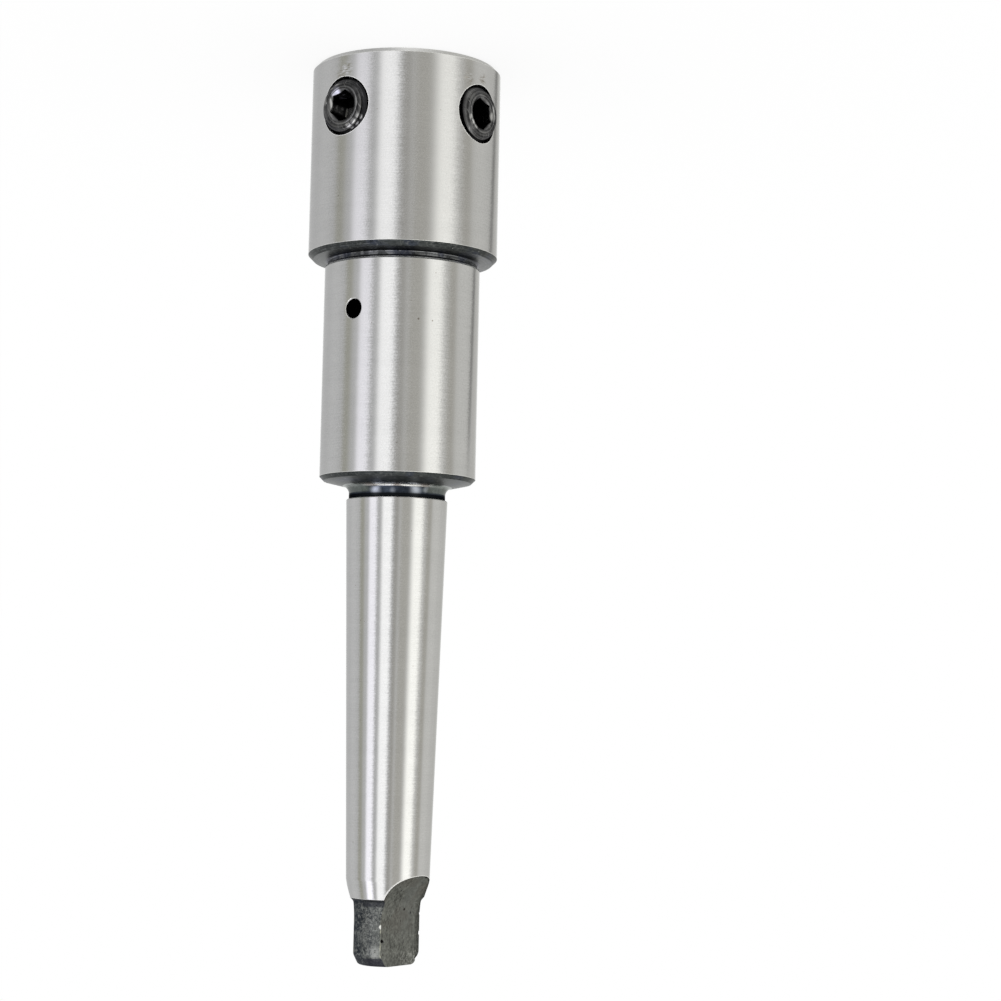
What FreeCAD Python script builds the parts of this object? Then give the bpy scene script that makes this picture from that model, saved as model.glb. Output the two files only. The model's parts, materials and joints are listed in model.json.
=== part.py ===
# Arbor for ring tools (annular cutters): a self-holding taper shank, size 2 (1 : 20.020), with a tang
# at one end, and a side-lock socket for a 19.05 mm cutter shank at the other. Between them lies the
# ground neck that a coolant ring runs on. Two set screws clamp the cutter through the collar, and a
# sprung plunger inside pushes the slug out of the cutter.
#
# Row frame, in millimetres: origin at the centre of the socket's mouth, +Z along the axis towards the
# tang, +X out through the first clamp screw, -Y out through the second, which is the tang flats' normal.

import FreeCAD, Part
import math
import os

V = FreeCAD.Vector
ORIGIN = V(0, 0, 0)
UP = V(0, 0, 1)
OUTWARD = V(1, 0, 0)

# Collar and its socket
collar_d = 34.1
collar_length = 35.4
collar_mouth_chamfer = 0.85
collar_back_chamfer = 0.9
collar_back_rise = 0.25
socket_d = 19.05
socket_depth = 33.0
socket_lead_in = 0.8

# Relief behind the collar and the ground neck of the coolant ring
undercut_d = 26.9
undercut_width = 1.3
undercut_corner = 0.45
neck_d = 28.0
neck_length = 37.7
neck_edge_break = 0.15
neck_end_chamfer = 0.75
neck_end_rise = 1.05

# Groove between the neck's end and the taper
groove_d = 17.26
groove_width = 4.0
groove_fillet = 1.5

# Taper shank, size 2
gauge_d = 17.780
taper_rate = 1 / 20.020
gauge_offset = 8.0
taper_length = 67.1
taper_edge_break = 0.15
lead_cone_angle = 10.9
lead_end_d = 13.6

# Tang
tang_d = 12.3
tang_thickness = 6.2
tang_reach = 14.9
tang_step_length = 0.6
tang_neck_fillet = 0.8
tang_flat_length = 8.1
tang_runout_radius = 9.0
tang_end_chamfer = 1.2
tang_end_chamfer_length = 2.0
tang_end_rounding = 1.1
centre_drill_d = 1.6
centre_mouth_d = 3.4
centre_drill_depth = 3.4
centre_angle = 60.0

# Chamber of the ejector, bored on past the socket
chamber_d = 14.0
chamber_depth = 35.0
chamber_drill_point_d = 8.0
drill_point_angle = 118.0

# Coolant port through the neck's wall, drilled a little off the first screw's line
coolant_port_d = 3.5
coolant_port_from_undercut = 8.9
coolant_port_angle = -2.0
coolant_port_chamfer = 0.18

# Clamp screws, M10, with a hexagon socket and a flat point, 8 mm long in this collar's wall
screw_d = 10.0
screw_stands_proud = 0.505
screw_from_mouth = 10.1
screw_running_clearance = 0.05
screw_tip_gap = 0.03
screw_head_chamfer = 0.95
screw_point_d = 7.0
screw_hole_countersink = 0.15
hexagon_across_flats = 5.0
hexagon_depth = 4.0
hexagon_lead_in = 0.25
first_screw_angle = 0.0
first_hexagon_angle = 12.4
second_screw_angle = -90.0
second_hexagon_angle = -11.3
clamp_screws = (
    ("clamp_screw_1", first_screw_angle, first_hexagon_angle),
    ("clamp_screw_2", second_screw_angle, second_hexagon_angle),
)

# Retaining ring in its groove near the chamber's mouth
ring_land = 1.4
ring_thickness = 1.0
ring_groove_play = 0.1
ring_groove_depth = 0.3
ring_groove_clearance = 0.05
ring_band = 1.7
ring_gap_angle = 56.0
ring_lug_reach = 3.3
ring_lug_angle = 24.0
ring_plier_hole_d = 1.5

# Ejector plunger: a guided drum with a nose below and a spring pilot above
plunger_clearance = 0.07
plunger_length = 6.0
plunger_seat_gap = 0.05
plunger_nose_d = 6.4
plunger_nose_length = 2.2
plunger_nose_chamfer = 0.8
plunger_pilot_d = 7.2
plunger_pilot_length = 7.0
plunger_edge_chamfer = 0.5
coolant_scallops = 3
coolant_scallop_d = 4.2
coolant_scallop_depth = 1.5

# Ejector spring
spring_wire_d = 1.2
spring_wall_clearance = 0.9
spring_turns = 6
spring_seat_gap = 0.05
spring_wire_sides = 6
spring_stations_per_turn = 12

# Places along the axis that follow from the sizes
neck_start_z = collar_length + undercut_width
neck_end_z = neck_start_z + neck_length
taper_start_z = neck_end_z + groove_width
gauge_z = taper_start_z + gauge_offset
taper_end_z = taper_start_z + taper_length
end_z = taper_end_z + tang_reach
chamber_end_z = socket_depth + chamber_depth
ring_z = socket_depth + ring_land
ring_top_z = ring_z + ring_thickness
plunger_z = ring_top_z + plunger_seat_gap
plunger_top_z = plunger_z + plunger_length
coolant_port_z = neck_start_z + coolant_port_from_undercut


def taper_radius(z):
    """Radius of the taper's cone at a place along the axis."""
    return (gauge_d - (z - gauge_z) * taper_rate) / 2


def profile(corners):
    """Closed wire in the XZ plane through corners (radius, z) or (radius, z, rounding)."""
    count = len(corners)
    places = [V(corner[0], 0, corner[1]) for corner in corners]
    starts, ends, arcs = [], [], []
    for i, corner in enumerate(corners):
        rounding = corner[2] if len(corner) > 2 else 0
        here = places[i]
        if rounding == 0:
            starts.append(here)
            ends.append(here)
            arcs.append(None)
            continue
        back = (places[i - 1] - here).normalize()
        ahead = (places[(i + 1) % count] - here).normalize()
        half = back.getAngle(ahead) / 2
        reach = rounding / math.tan(half)
        middle = here + (back + ahead).normalize() * (rounding / math.sin(half) - rounding)
        starts.append(here + back * reach)
        ends.append(here + ahead * reach)
        arcs.append(Part.Arc(starts[i], middle, ends[i]).toShape())
    edges = []
    for i in range(count):
        if arcs[i]:
            edges.append(arcs[i])
        edges.append(Part.LineSegment(ends[i], starts[(i + 1) % count]).toShape())
    return Part.Wire(edges)


def turned(corners):
    """Solid of revolution about Z from its half section."""
    return Part.Face(profile(corners)).revolve(ORIGIN, UP, 360)


def on_axis(shape, azimuth, z):
    """A piece modelled along +X, turned to its azimuth and lifted to its place on the axis."""
    placed = shape.copy()
    placed.rotate(ORIGIN, UP, azimuth)
    placed.translate(UP * z)
    return placed


def hexagonal_prism(start_x, angle):
    """Hexagonal bar of the key's socket along +X, with a corner turned by the angle from +Z."""
    corner_radius = hexagon_across_flats / math.sqrt(3)
    corners = []
    for k in range(7):
        around = math.radians(60 * k + angle)
        corners.append(V(start_x, corner_radius * math.sin(around), corner_radius * math.cos(around)))
    return Part.Face(Part.makePolygon(corners)).extrude(OUTWARD * hexagon_depth)


def outer_form():
    """The turned and ground outside, from the socket's mouth to the end of the tang."""
    collar_r = collar_d / 2
    neck_r = neck_d / 2
    undercut_r = undercut_d / 2
    back_chamfer_z = collar_length - collar_back_rise
    neck_end_r = neck_r - neck_end_chamfer
    neck_back_z = neck_end_z + neck_end_chamfer
    tang_r = tang_d / 2
    lead_end_r = lead_end_d / 2
    lead_drop = taper_radius(taper_end_z) - lead_end_r
    lead_end_z = taper_end_z + lead_drop / math.tan(math.radians(lead_cone_angle))
    return turned([
        (0, 0),
        (collar_r - collar_mouth_chamfer, 0),
        (collar_r, collar_mouth_chamfer),
        (collar_r, back_chamfer_z - collar_back_chamfer),
        (collar_r - collar_back_chamfer, back_chamfer_z),
        (undercut_r + undercut_corner, collar_length),
        (undercut_r, collar_length + undercut_corner),
        (undercut_r, neck_start_z - (neck_r - undercut_r)),
        (neck_r - neck_edge_break, neck_start_z - neck_edge_break),
        (neck_r, neck_start_z + neck_edge_break),
        (neck_r, neck_end_z),
        (neck_end_r, neck_back_z),
        (groove_d / 2, neck_back_z + neck_end_rise, groove_fillet),
        (groove_d / 2, taper_start_z),
        (taper_radius(taper_start_z) - taper_edge_break, taper_start_z),
        (taper_radius(taper_start_z), taper_start_z + taper_edge_break),
        (taper_radius(taper_end_z), taper_end_z),
        (lead_end_r, lead_end_z),
        (tang_r, lead_end_z + tang_step_length, tang_neck_fillet),
        (tang_r, end_z - tang_end_chamfer_length, tang_end_rounding),
        (tang_r - tang_end_chamfer, end_z, tang_end_rounding),
        (0, end_z),
    ])


def tang_flat_cutter():
    """Side cutter of one tang flat, on the +Y side: the flat, then a run-out of the cutter's radius."""
    flat_y = tang_thickness / 2
    flat_start_z = end_z - tang_flat_length
    swept_y = flat_y + tang_runout_radius
    past_end_z = end_z + tang_runout_radius
    width = gauge_d
    corners = [
        V(-width, flat_y, flat_start_z),
        V(-width, flat_y, past_end_z),
        V(-width, swept_y, past_end_z),
        V(-width, swept_y, flat_start_z - tang_runout_radius),
    ]
    runout = Part.Arc(
        corners[3],
        V(
            -width,
            swept_y - tang_runout_radius * math.sin(math.pi / 4),
            flat_start_z - tang_runout_radius * math.cos(math.pi / 4),
        ),
        corners[0],
    )
    edges = [Part.LineSegment(corners[i], corners[i + 1]).toShape() for i in range(3)]
    edges.append(runout.toShape())
    return Part.Face(Part.Wire(edges)).extrude(V(2 * width, 0, 0))


def bored_form():
    """Everything that is bored from the mouth: lead-in, socket, chamber, ring groove and drill point."""
    socket_r = socket_d / 2
    chamber_r = chamber_d / 2
    groove_r = chamber_r + ring_groove_depth
    drill_r = chamber_drill_point_d / 2
    drill_tip = drill_r / math.tan(math.radians(drill_point_angle / 2))
    return turned([
        (0, 0),
        (socket_r + socket_lead_in, 0),
        (socket_r, socket_lead_in),
        (socket_r, socket_depth),
        (chamber_r, socket_depth),
        (chamber_r, ring_z),
        (groove_r, ring_z),
        (groove_r, ring_top_z + ring_groove_play),
        (chamber_r, ring_top_z + ring_groove_play),
        (chamber_r, chamber_end_z),
        (drill_r, chamber_end_z),
        (0, chamber_end_z + drill_tip),
    ])


def centre_hole():
    """Centre hole in the tang's end, which the shank was ground from."""
    drill_r = centre_drill_d / 2
    mouth_r = centre_mouth_d / 2
    cone_depth = (mouth_r - drill_r) / math.tan(math.radians(centre_angle / 2))
    return turned([
        (0, end_z),
        (mouth_r, end_z),
        (drill_r, end_z - cone_depth),
        (drill_r, end_z - centre_drill_depth),
        (0, end_z - centre_drill_depth - drill_r),
    ])


def radial_hole(diameter, chamfer, surface_d, inner_d, azimuth, z):
    """Drilled hole from the outside surface to inside an inner bore, with a chamfered mouth."""
    start_x = inner_d / 4
    hole_r = diameter / 2
    outside_x = surface_d / 2
    drill = Part.makeCylinder(hole_r, surface_d - start_x, V(start_x, 0, 0), OUTWARD)
    mouth = Part.makeCone(
        hole_r, hole_r + 2 * chamfer, 2 * chamfer, V(outside_x - chamfer, 0, 0), OUTWARD
    )
    return on_axis(drill.fuse(mouth), azimuth, z)


def arbor_body():
    """The arbor itself, one piece of hardened steel."""
    body = outer_form().cut(bored_form()).cut(centre_hole())
    flat = tang_flat_cutter()
    body = body.cut(flat).cut(flat.mirror(ORIGIN, V(0, 1, 0)))
    for _, azimuth, _ in clamp_screws:
        hole = radial_hole(
            screw_d, screw_hole_countersink, collar_d, socket_d, azimuth, screw_from_mouth
        )
        body = body.cut(hole)
    port = radial_hole(
        coolant_port_d, coolant_port_chamfer, neck_d, chamber_d, coolant_port_angle, coolant_port_z
    )
    return body.cut(port)


def clamp_screw(azimuth, hexagon_angle):
    """Set screw with hexagon socket and flat point, in its running clearance in the tapped hole."""
    tip_x = socket_d / 2 + screw_tip_gap
    face_x = collar_d / 2 + screw_stands_proud
    crest_r = screw_d / 2 - screw_running_clearance
    face_r = crest_r - screw_head_chamfer
    point_r = screw_point_d / 2
    point_chamfer = crest_r - point_r
    blank = turned([
        (0, tip_x),
        (point_r, tip_x),
        (crest_r, tip_x + point_chamfer),
        (crest_r, face_x - screw_head_chamfer),
        (face_r, face_x),
        (0, face_x),
    ])
    blank.rotate(ORIGIN, V(0, 1, 0), 90)
    corner_r = hexagon_across_flats / math.sqrt(3)
    flat_r = hexagon_across_flats / 2
    mouth_r = corner_r + hexagon_lead_in
    mouth_depth = mouth_r - flat_r
    socket = hexagonal_prism(face_x - hexagon_depth, hexagon_angle)
    lead_in = Part.makeCone(flat_r, mouth_r, mouth_depth, V(face_x - mouth_depth, 0, 0), OUTWARD)
    return on_axis(blank.cut(socket).cut(lead_in), azimuth, screw_from_mouth)


def sector(radius, z, height, half_angle):
    """Wedge about the axis, centred on -X, that is taken out of a ring."""
    wedge = Part.makeCylinder(radius, height, V(0, 0, z), UP, 2 * half_angle)
    wedge.rotate(ORIGIN, UP, 180 - half_angle)
    return wedge


def retaining_ring():
    """Internal retaining ring: an open band with two drilled lugs beside its gap."""
    outer_r = chamber_d / 2 + ring_groove_depth - ring_groove_clearance
    inner_r = outer_r - ring_band
    lug_r = outer_r - ring_lug_reach
    band = Part.makeCylinder(outer_r, ring_thickness, V(0, 0, ring_z))
    band = band.cut(Part.makeCylinder(inner_r, ring_thickness, V(0, 0, ring_z)))
    lugs = sector(outer_r, ring_z, ring_thickness, ring_gap_angle / 2 + ring_lug_angle)
    lugs = lugs.cut(Part.makeCylinder(lug_r, ring_thickness, V(0, 0, ring_z)))
    ring = band.fuse(lugs).removeSplitter()
    ring = ring.cut(sector(2 * outer_r, ring_z, ring_thickness, ring_gap_angle / 2))
    hole_r = (outer_r + lug_r) / 2
    for side in (-1, 1):
        angle = math.radians(180 + side * (ring_gap_angle + ring_lug_angle) / 2)
        place = V(hole_r * math.cos(angle), hole_r * math.sin(angle), ring_z)
        ring = ring.cut(Part.makeCylinder(ring_plier_hole_d / 2, ring_thickness, place))
    return ring


def ejector_plunger():
    """Plunger that bears on the cutter's pilot pin, with scallops that let coolant past."""
    guide_r = chamber_d / 2 - plunger_clearance
    nose_r = plunger_nose_d / 2
    nose_z = plunger_z - plunger_nose_length
    pilot_r = plunger_pilot_d / 2
    pilot_top_z = plunger_top_z + plunger_pilot_length
    plunger = turned([
        (0, nose_z),
        (nose_r - plunger_nose_chamfer, nose_z),
        (nose_r, nose_z + plunger_nose_chamfer),
        (nose_r, plunger_z),
        (guide_r - plunger_edge_chamfer, plunger_z),
        (guide_r, plunger_z + plunger_edge_chamfer),
        (guide_r, plunger_top_z - plunger_edge_chamfer),
        (guide_r - plunger_edge_chamfer, plunger_top_z),
        (pilot_r, plunger_top_z),
        (pilot_r, pilot_top_z - plunger_edge_chamfer),
        (pilot_r - plunger_edge_chamfer, pilot_top_z),
        (0, pilot_top_z),
    ])
    scallop_x = guide_r - coolant_scallop_depth + coolant_scallop_d / 2
    for k in range(coolant_scallops):
        scallop = Part.makeCylinder(
            coolant_scallop_d / 2, plunger_length, V(scallop_x, 0, plunger_z), UP
        )
        plunger = plunger.cut(on_axis(scallop, 360 / coolant_scallops * (k + 0.5), 0))
    return plunger


def ejector_spring():
    """Compression spring between the plunger and the chamber's end: a ruled loft along its helix."""
    wire_r = spring_wire_d / 2
    coil_r = chamber_d / 2 - spring_wall_clearance - wire_r
    start_z = plunger_top_z + spring_seat_gap + wire_r
    height = chamber_end_z - spring_seat_gap - wire_r - start_z
    stations = spring_turns * spring_stations_per_turn
    sections = []
    for k in range(stations + 1):
        around = 2 * math.pi * k / spring_stations_per_turn
        corners = []
        for side in range(spring_wire_sides + 1):
            tilt = 2 * math.pi * side / spring_wire_sides
            r = coil_r + wire_r * math.cos(tilt)
            z = start_z + height * k / stations + wire_r * math.sin(tilt)
            corners.append(V(r * math.cos(around), r * math.sin(around), z))
        sections.append(Part.makePolygon(corners))
    return Part.makeLoft(sections, True, True)


def save(name, shape):
    """Write one piece and print what it measures."""
    solids = shape.Solids
    print(name, len(solids), "solid", round(shape.Volume, 1), "mm3", "valid", shape.isValid())
    (solids[0] if len(solids) == 1 else shape).exportStep("parts/" + name + ".step")


os.makedirs("parts", exist_ok=True)
save("arbor_body", arbor_body())
for screw_name, screw_angle, hexagon_angle in clamp_screws:
    save(screw_name, clamp_screw(screw_angle, hexagon_angle))
save("retaining_ring", retaining_ring())
save("ejector_plunger", ejector_plunger())
save("ejector_spring", ejector_spring())
print("overall length", round(end_z, 3), "gauge plane at", round(gauge_z, 3))
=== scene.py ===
# %% [markdown]
# # Dressing a ring tool arbor
# A ring tool arbor holds a ring-shaped cutter in a drilling machine. The slim end is a taper that
# wedges itself in the spindle, the thick end is a socket with two set screws, and the neck between
# them runs inside a coolant ring.
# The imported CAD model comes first, because it fixes the size and place of every piece. Its flat
# facets would show on a polished bar, so the looks are new pieces, turned finely over it.

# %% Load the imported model
import cmath
import json
import math

import bpy
from mathutils import Matrix, Quaternion, Vector

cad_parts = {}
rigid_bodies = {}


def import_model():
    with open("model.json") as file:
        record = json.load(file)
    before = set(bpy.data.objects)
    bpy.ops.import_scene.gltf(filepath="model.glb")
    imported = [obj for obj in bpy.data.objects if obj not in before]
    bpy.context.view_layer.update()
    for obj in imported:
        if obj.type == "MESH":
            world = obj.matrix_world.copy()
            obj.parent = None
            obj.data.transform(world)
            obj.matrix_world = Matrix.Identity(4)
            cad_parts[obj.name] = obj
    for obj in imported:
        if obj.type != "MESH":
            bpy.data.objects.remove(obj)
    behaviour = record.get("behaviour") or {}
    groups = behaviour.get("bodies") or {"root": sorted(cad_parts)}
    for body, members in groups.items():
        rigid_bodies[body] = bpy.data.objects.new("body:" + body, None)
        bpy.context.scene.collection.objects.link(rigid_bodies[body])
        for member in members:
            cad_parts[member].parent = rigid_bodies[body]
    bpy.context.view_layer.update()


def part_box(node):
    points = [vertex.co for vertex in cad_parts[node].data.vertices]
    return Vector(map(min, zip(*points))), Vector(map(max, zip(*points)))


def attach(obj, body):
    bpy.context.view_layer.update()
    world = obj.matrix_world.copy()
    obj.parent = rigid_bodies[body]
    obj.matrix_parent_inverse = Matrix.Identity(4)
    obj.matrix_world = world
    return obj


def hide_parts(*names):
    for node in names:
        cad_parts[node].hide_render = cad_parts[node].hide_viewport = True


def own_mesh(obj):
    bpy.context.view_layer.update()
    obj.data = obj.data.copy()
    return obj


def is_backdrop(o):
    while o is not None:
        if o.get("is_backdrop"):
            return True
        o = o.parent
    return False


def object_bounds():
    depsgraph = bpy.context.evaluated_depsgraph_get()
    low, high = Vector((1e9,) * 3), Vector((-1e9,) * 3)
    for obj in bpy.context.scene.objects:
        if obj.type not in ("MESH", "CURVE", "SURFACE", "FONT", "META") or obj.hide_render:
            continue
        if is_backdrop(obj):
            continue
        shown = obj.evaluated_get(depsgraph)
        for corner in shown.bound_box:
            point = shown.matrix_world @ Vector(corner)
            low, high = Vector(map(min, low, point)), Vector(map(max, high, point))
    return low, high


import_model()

# %% [markdown]
# ## Sizes
# Blender works in metres and a machinist in millimetres, so the sizes are in millimetres and the
# helpers turn them into metres. Heights count from the socket's mouth up to the tang.

# %% Sizes of the arbor in millimetres
MM = 0.001
body_low, body_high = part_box("arbor_body")
end_z = body_high.z / MM
collar_r = body_high.x / MM
collar_length = 35.4
collar_back_chamfer = 0.9
collar_back_rise = 0.25
mouth_chamfer = 0.85
undercut_r = 13.45
undercut_corner = 0.45
neck_r = 14.0
neck_start_z = 36.7
neck_end_z = 74.4
neck_end_chamfer = 0.75
neck_end_rise = 1.05
edge_break = 0.15
groove_r = 8.63
groove_fillet = 1.5
taper_start_z = 78.4
taper_end_z = 145.5
gauge_z = 86.4
gauge_r = 8.89
taper_rate = 1 / 20.020
taper_start_r = gauge_r + (gauge_z - taper_start_z) * taper_rate / 2
taper_end_r = gauge_r - (taper_end_z - gauge_z) * taper_rate / 2
socket_r = 9.525
socket_depth = 33.0
socket_lead_in = 0.8
chamber_r = 7.0
chamber_end_z = 68.0
print("collar radius", round(collar_r, 3), "length", round(end_z, 3))

# %% Sizes of the tang in millimetres
lead_cone_angle = math.radians(10.9)
lead_end_r = 6.8
tang_step_length = 0.6
tang_r = 6.15
tang_half_thickness = 3.1
tang_flat_start_z = end_z - 8.1
tang_runout_r = 9.0
tang_neck_fillet = 0.8
tang_end_chamfer = 1.2
tang_end_chamfer_length = 2.0
tang_end_rounding = 1.1
centre_mouth_r = 1.7
centre_drill_r = 0.8
centre_depth = 3.4

# %% [markdown]
# ## The camera
# A long lens stands a little above the arbor's middle and looks slightly down. The arbor stands on
# its socket, but the picture shows the socket on top, so the camera is rolled by half a turn.

# %% Camera
VIEW_AZIMUTH = math.radians(50.6)
camera_distance = 418.48
camera_height = 114.48
camera_aim = Vector((-10.191, -15.563, 78.064)) * MM
camera_roll = math.radians(-178.839)
camera_data = bpy.data.cameras.new("camera")
camera_data.sensor_width = 36
camera_data.lens = 84.179
camera = bpy.data.objects.new("camera", camera_data)
bpy.context.scene.collection.objects.link(camera)
camera.location = Vector((
    camera_distance * math.sin(VIEW_AZIMUTH),
    -camera_distance * math.cos(VIEW_AZIMUTH),
    camera_height,
)) * MM
aim = (camera_aim - camera.location).to_track_quat("-Z", "Y")
camera.rotation_mode = "QUATERNION"
camera.rotation_quaternion = aim @ Quaternion((0, 0, 1), camera_roll)
bpy.context.scene.camera = camera
bpy.context.scene.view_settings.view_transform = "Standard"
print("camera at", [round(v / MM, 1) for v in camera.location])

# %% [markdown]
# ## Writing a shader as arithmetic
# A node tree reads more easily as a formula. The class below wraps one socket, and a sum or
# product of two such values adds its Math node. One method makes every other kind of node from
# its type, its settings and the values or links of its inputs.

# %% A value that flows between nodes
class Flow:
    """One socket of a node sheet; arithmetic on it adds Math nodes."""

    def __init__(self, sheet, socket):
        self.sheet = sheet
        self.socket = socket

    def math(self, operation, *values):
        return self.sheet.node("Math", {"operation": operation}, dict(enumerate(values)))

    def __add__(self, other):
        return self.math("ADD", self, other)

    def __radd__(self, other):
        return self.math("ADD", other, self)

    def __sub__(self, other):
        return self.math("SUBTRACT", self, other)

    def __rsub__(self, other):
        return self.math("SUBTRACT", other, self)

    def __mul__(self, other):
        return self.math("MULTIPLY", self, other)

    def __truediv__(self, other):
        return self.math("DIVIDE", self, other)

    def size(self):
        return self.math("ABSOLUTE", self)

    def root(self):
        return self.math("SQRT", self)

    def hypot(self, other):
        return (self * self + other * other).root()

    def at_most(self, limit):
        return self.math("MINIMUM", self, limit)

    def at_least(self, limit):
        return self.math("MAXIMUM", self, limit)

    def layer(self, share, colour):
        """A colour with a share of another colour laid over it."""
        return self.sheet.blend(share, self, colour)

    def swing(self, span):
        """A noise value round its middle, spread over a span."""
        return (self - 0.5) * span

    def above(self, low, high):
        """0 below low, 1 above high, with a smooth rise between them."""
        settings = {"interpolation_type": "SMOOTHSTEP"}
        return self.sheet.node("MapRange", settings, {0: self, 1: low, 2: high})

    def below(self, low, high):
        return 1 - self.above(low, high)

    def over(self, low, high):
        """The same as above, with both limits in millimetres."""
        return self.above(low * MM, high * MM)

    def under(self, low, high):
        return 1 - self.over(low, high)


# %% A sheet of nodes
class NodeSheet:
    """The node tree of one material or of the world."""

    def __init__(self, tree):
        self.tree = tree
        tree.nodes.clear()

    def node(self, kind, settings=None, inputs=None, out=0):
        """Adds a node, with its settings first and then the values or links of its inputs."""
        made = self.tree.nodes.new("ShaderNode" + kind)
        for name, value in (settings or {}).items():
            setattr(made, name, value)
        for name, value in (inputs or {}).items():
            socket = made.inputs[name]
            if isinstance(value, Flow):
                self.tree.links.new(value.socket, socket)
            elif socket.type == "RGBA":
                socket.default_value = (*value, 1.0)
            else:
                socket.default_value = value
        return Flow(self, made.outputs[out])

    def also(self, flow, out):
        """Another output of the node that a value comes from."""
        return Flow(self, flow.socket.node.outputs[out])

    def vector(self, x, y, z):
        return self.node("CombineXYZ", None, {0: x, 1: y, 2: z})

    def split(self, vector):
        first = self.node("SeparateXYZ", None, {0: vector})
        return [self.also(first, out) for out in range(3)]

    def across(self, operation, a, b=(0, 0, 0), scale=1.0, out=0):
        """Vector Math on two vectors."""
        inputs = {0: a, 1: b, 3: scale}
        return self.node("VectorMath", {"operation": operation}, inputs, out)

    def distance(self, a, b):
        return self.across("DISTANCE", a, b, out="Value")

    def shaded(self, colour, shade):
        return self.across("SCALE", colour, scale=shade)

    def blend(self, share, first, second):
        """A Mix node between two colours."""
        inputs = {0: share, 6: first, 7: second}
        return self.node("Mix", {"data_type": "RGBA"}, inputs, out=2)

    def noise(self, vector, scale=1.0, detail=2.0, roughness=0.5, distortion=0.0):
        """Noise at a vector, or at three values that make one."""
        vector = self.vector(*vector) if isinstance(vector, tuple) else vector
        inputs = {"Vector": vector, "Scale": scale, "Detail": detail}
        inputs.update({"Roughness": roughness, "Distortion": distortion})
        return self.node("TexNoise", None, inputs)

    def cells(self, vector, scale):
        """Distance to the nearest of many scattered points, and a random number for each point."""
        away = self.node("TexVoronoi", None, {"Vector": vector, "Scale": scale})
        pick, _, _ = self.split(self.also(away, "Color"))
        return away, pick

    def bump(self, height, strength, distance):
        """A normal bumped by a height between 0 and 1, with its distance in millimetres."""
        inputs = {"Height": height, "Strength": strength, "Distance": distance * MM}
        return self.node("Bump", None, inputs)

    def finish(self, shader, kind="OutputMaterial"):
        output = self.tree.nodes.new("ShaderNode" + kind)
        self.tree.links.new(shader.socket, output.inputs["Surface"])


# %% [markdown]
# ## The studio
# Polished steel has hardly any colour of its own: it shows what stands round it. Tall soft lamps
# and dark flags appear as upright bands on every cylinder, at the same angles on the collar, the
# neck and the taper, so the world is made of such lamps. Each row gives a strip's direction,
# measured from the camera's direction towards the right of the picture, half its width and the
# softness of its borders, all in degrees, then its strength, how fast that grows with height, and
# its tint. A dark post leans low at the right. Only reflections see all this: the other light and
# the background are an even white.

# %% Lamps and flags round the arbor
def upright_strip(turn, towards, half_width, softness):
    """1 inside an upright strip that faces the given angle in degrees, 0 outside it."""
    away = turn.math("ABSOLUTE", turn.math("WRAP", turn - towards, 180.0, -180.0))
    return away.below(half_width - softness / 2, half_width + softness / 2)


world = bpy.data.worlds.new("studio")
bpy.context.scene.world = world
world.use_nodes = True
world.cycles.sampling_method = "NONE"
studio = NodeSheet(world.node_tree)
look_x, look_y, look_z = studio.split(studio.node("TexCoord"))
camera_bearing = math.degrees(VIEW_AZIMUTH) - 90
turn = camera_bearing - look_y.math("ARCTAN2", look_y, look_x) * math.degrees(1)
white = (1.0, 1.0, 1.0)
lilac = (0.98, 0.96, 1.06)
cream = (1.0, 1.0, 0.95)
against_blue = (0.95, 1.0, 1.1)
left_room = (0.57, 0.572, 0.57)
right_room = (0.615, 0.612, 0.586)
strips = {
    "back lamp": (179.5, 13, 20, 0.54, -0.9, white),
    "left side lamp": (-55, 9.5, 9, 0.64, 1.2, lilac),
    "left front lamp": (-21, 11.5, 9, 0.7, 0.1, white),
    "right front lamp": (51, 13, 15, 0.69, 0.9, cream),
    "left far lamp": (-113, 13, 20, 0.06, 0, white),
    "right far lamp": (104, 13, 18, 0.06, 0, cream),
    "front flag": (0.5, 5, 7, -0.17, 0, against_blue),
    "right front flag": (21, 10, 9, -0.12, 0, against_blue),
    "left flag": (-84, 6.5, 9, -0.17, 0, (0.92, 0.95, 1.25)),
    "right flag": (81.5, 7, 9, -0.15, 0, against_blue),
    "right back flag": (144, 9, 12, -0.04, 0, white),
    "gap between the left lamps": (-40, 3, 5, -0.05, 0, white),
}
light = studio.blend(upright_strip(turn, 85, 80, 30), left_room, right_room)
for towards, half_width, softness, strength, growth, tint in strips.values():
    share = upright_strip(turn, towards, half_width, softness) * (look_z * growth + 1) * strength
    light = studio.across("ADD", light, studio.shaded(tint, share))
post_lean = 100
post_darkness = 0.66
post = upright_strip(turn + look_z * post_lean, 116.5, 4.5, 8) * look_z.below(-0.11, -0.08)
light = studio.shaded(light, 1 - post * post_darkness)
print("round the arbor:", *strips, sep="\n  ")

# %% What reflections, other light and the camera see
camera_ray = studio.node("LightPath", out="Is Camera Ray")
glossy_ray = studio.also(camera_ray, "Is Glossy Ray")
reflected = studio.node("Background", None, {"Color": light, "Strength": 1.0})
even_white = studio.node("Background", None, {"Color": white, "Strength": 1.0})
lit = studio.node("MixShader", None, {0: glossy_ray, 1: even_white, 2: reflected})
seen = studio.node("MixShader", None, {0: camera_ray, 1: lit, 2: even_white})
studio.finish(seen, "OutputWorld")

# %% [markdown]
# ## The floor
# The arbor stands on its socket end on a pale sheet. The sheet is as white as the background and
# keeps a faint contact shadow. Reflections pass it by, because the bands on the collar run
# unbroken to the rim.

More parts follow.
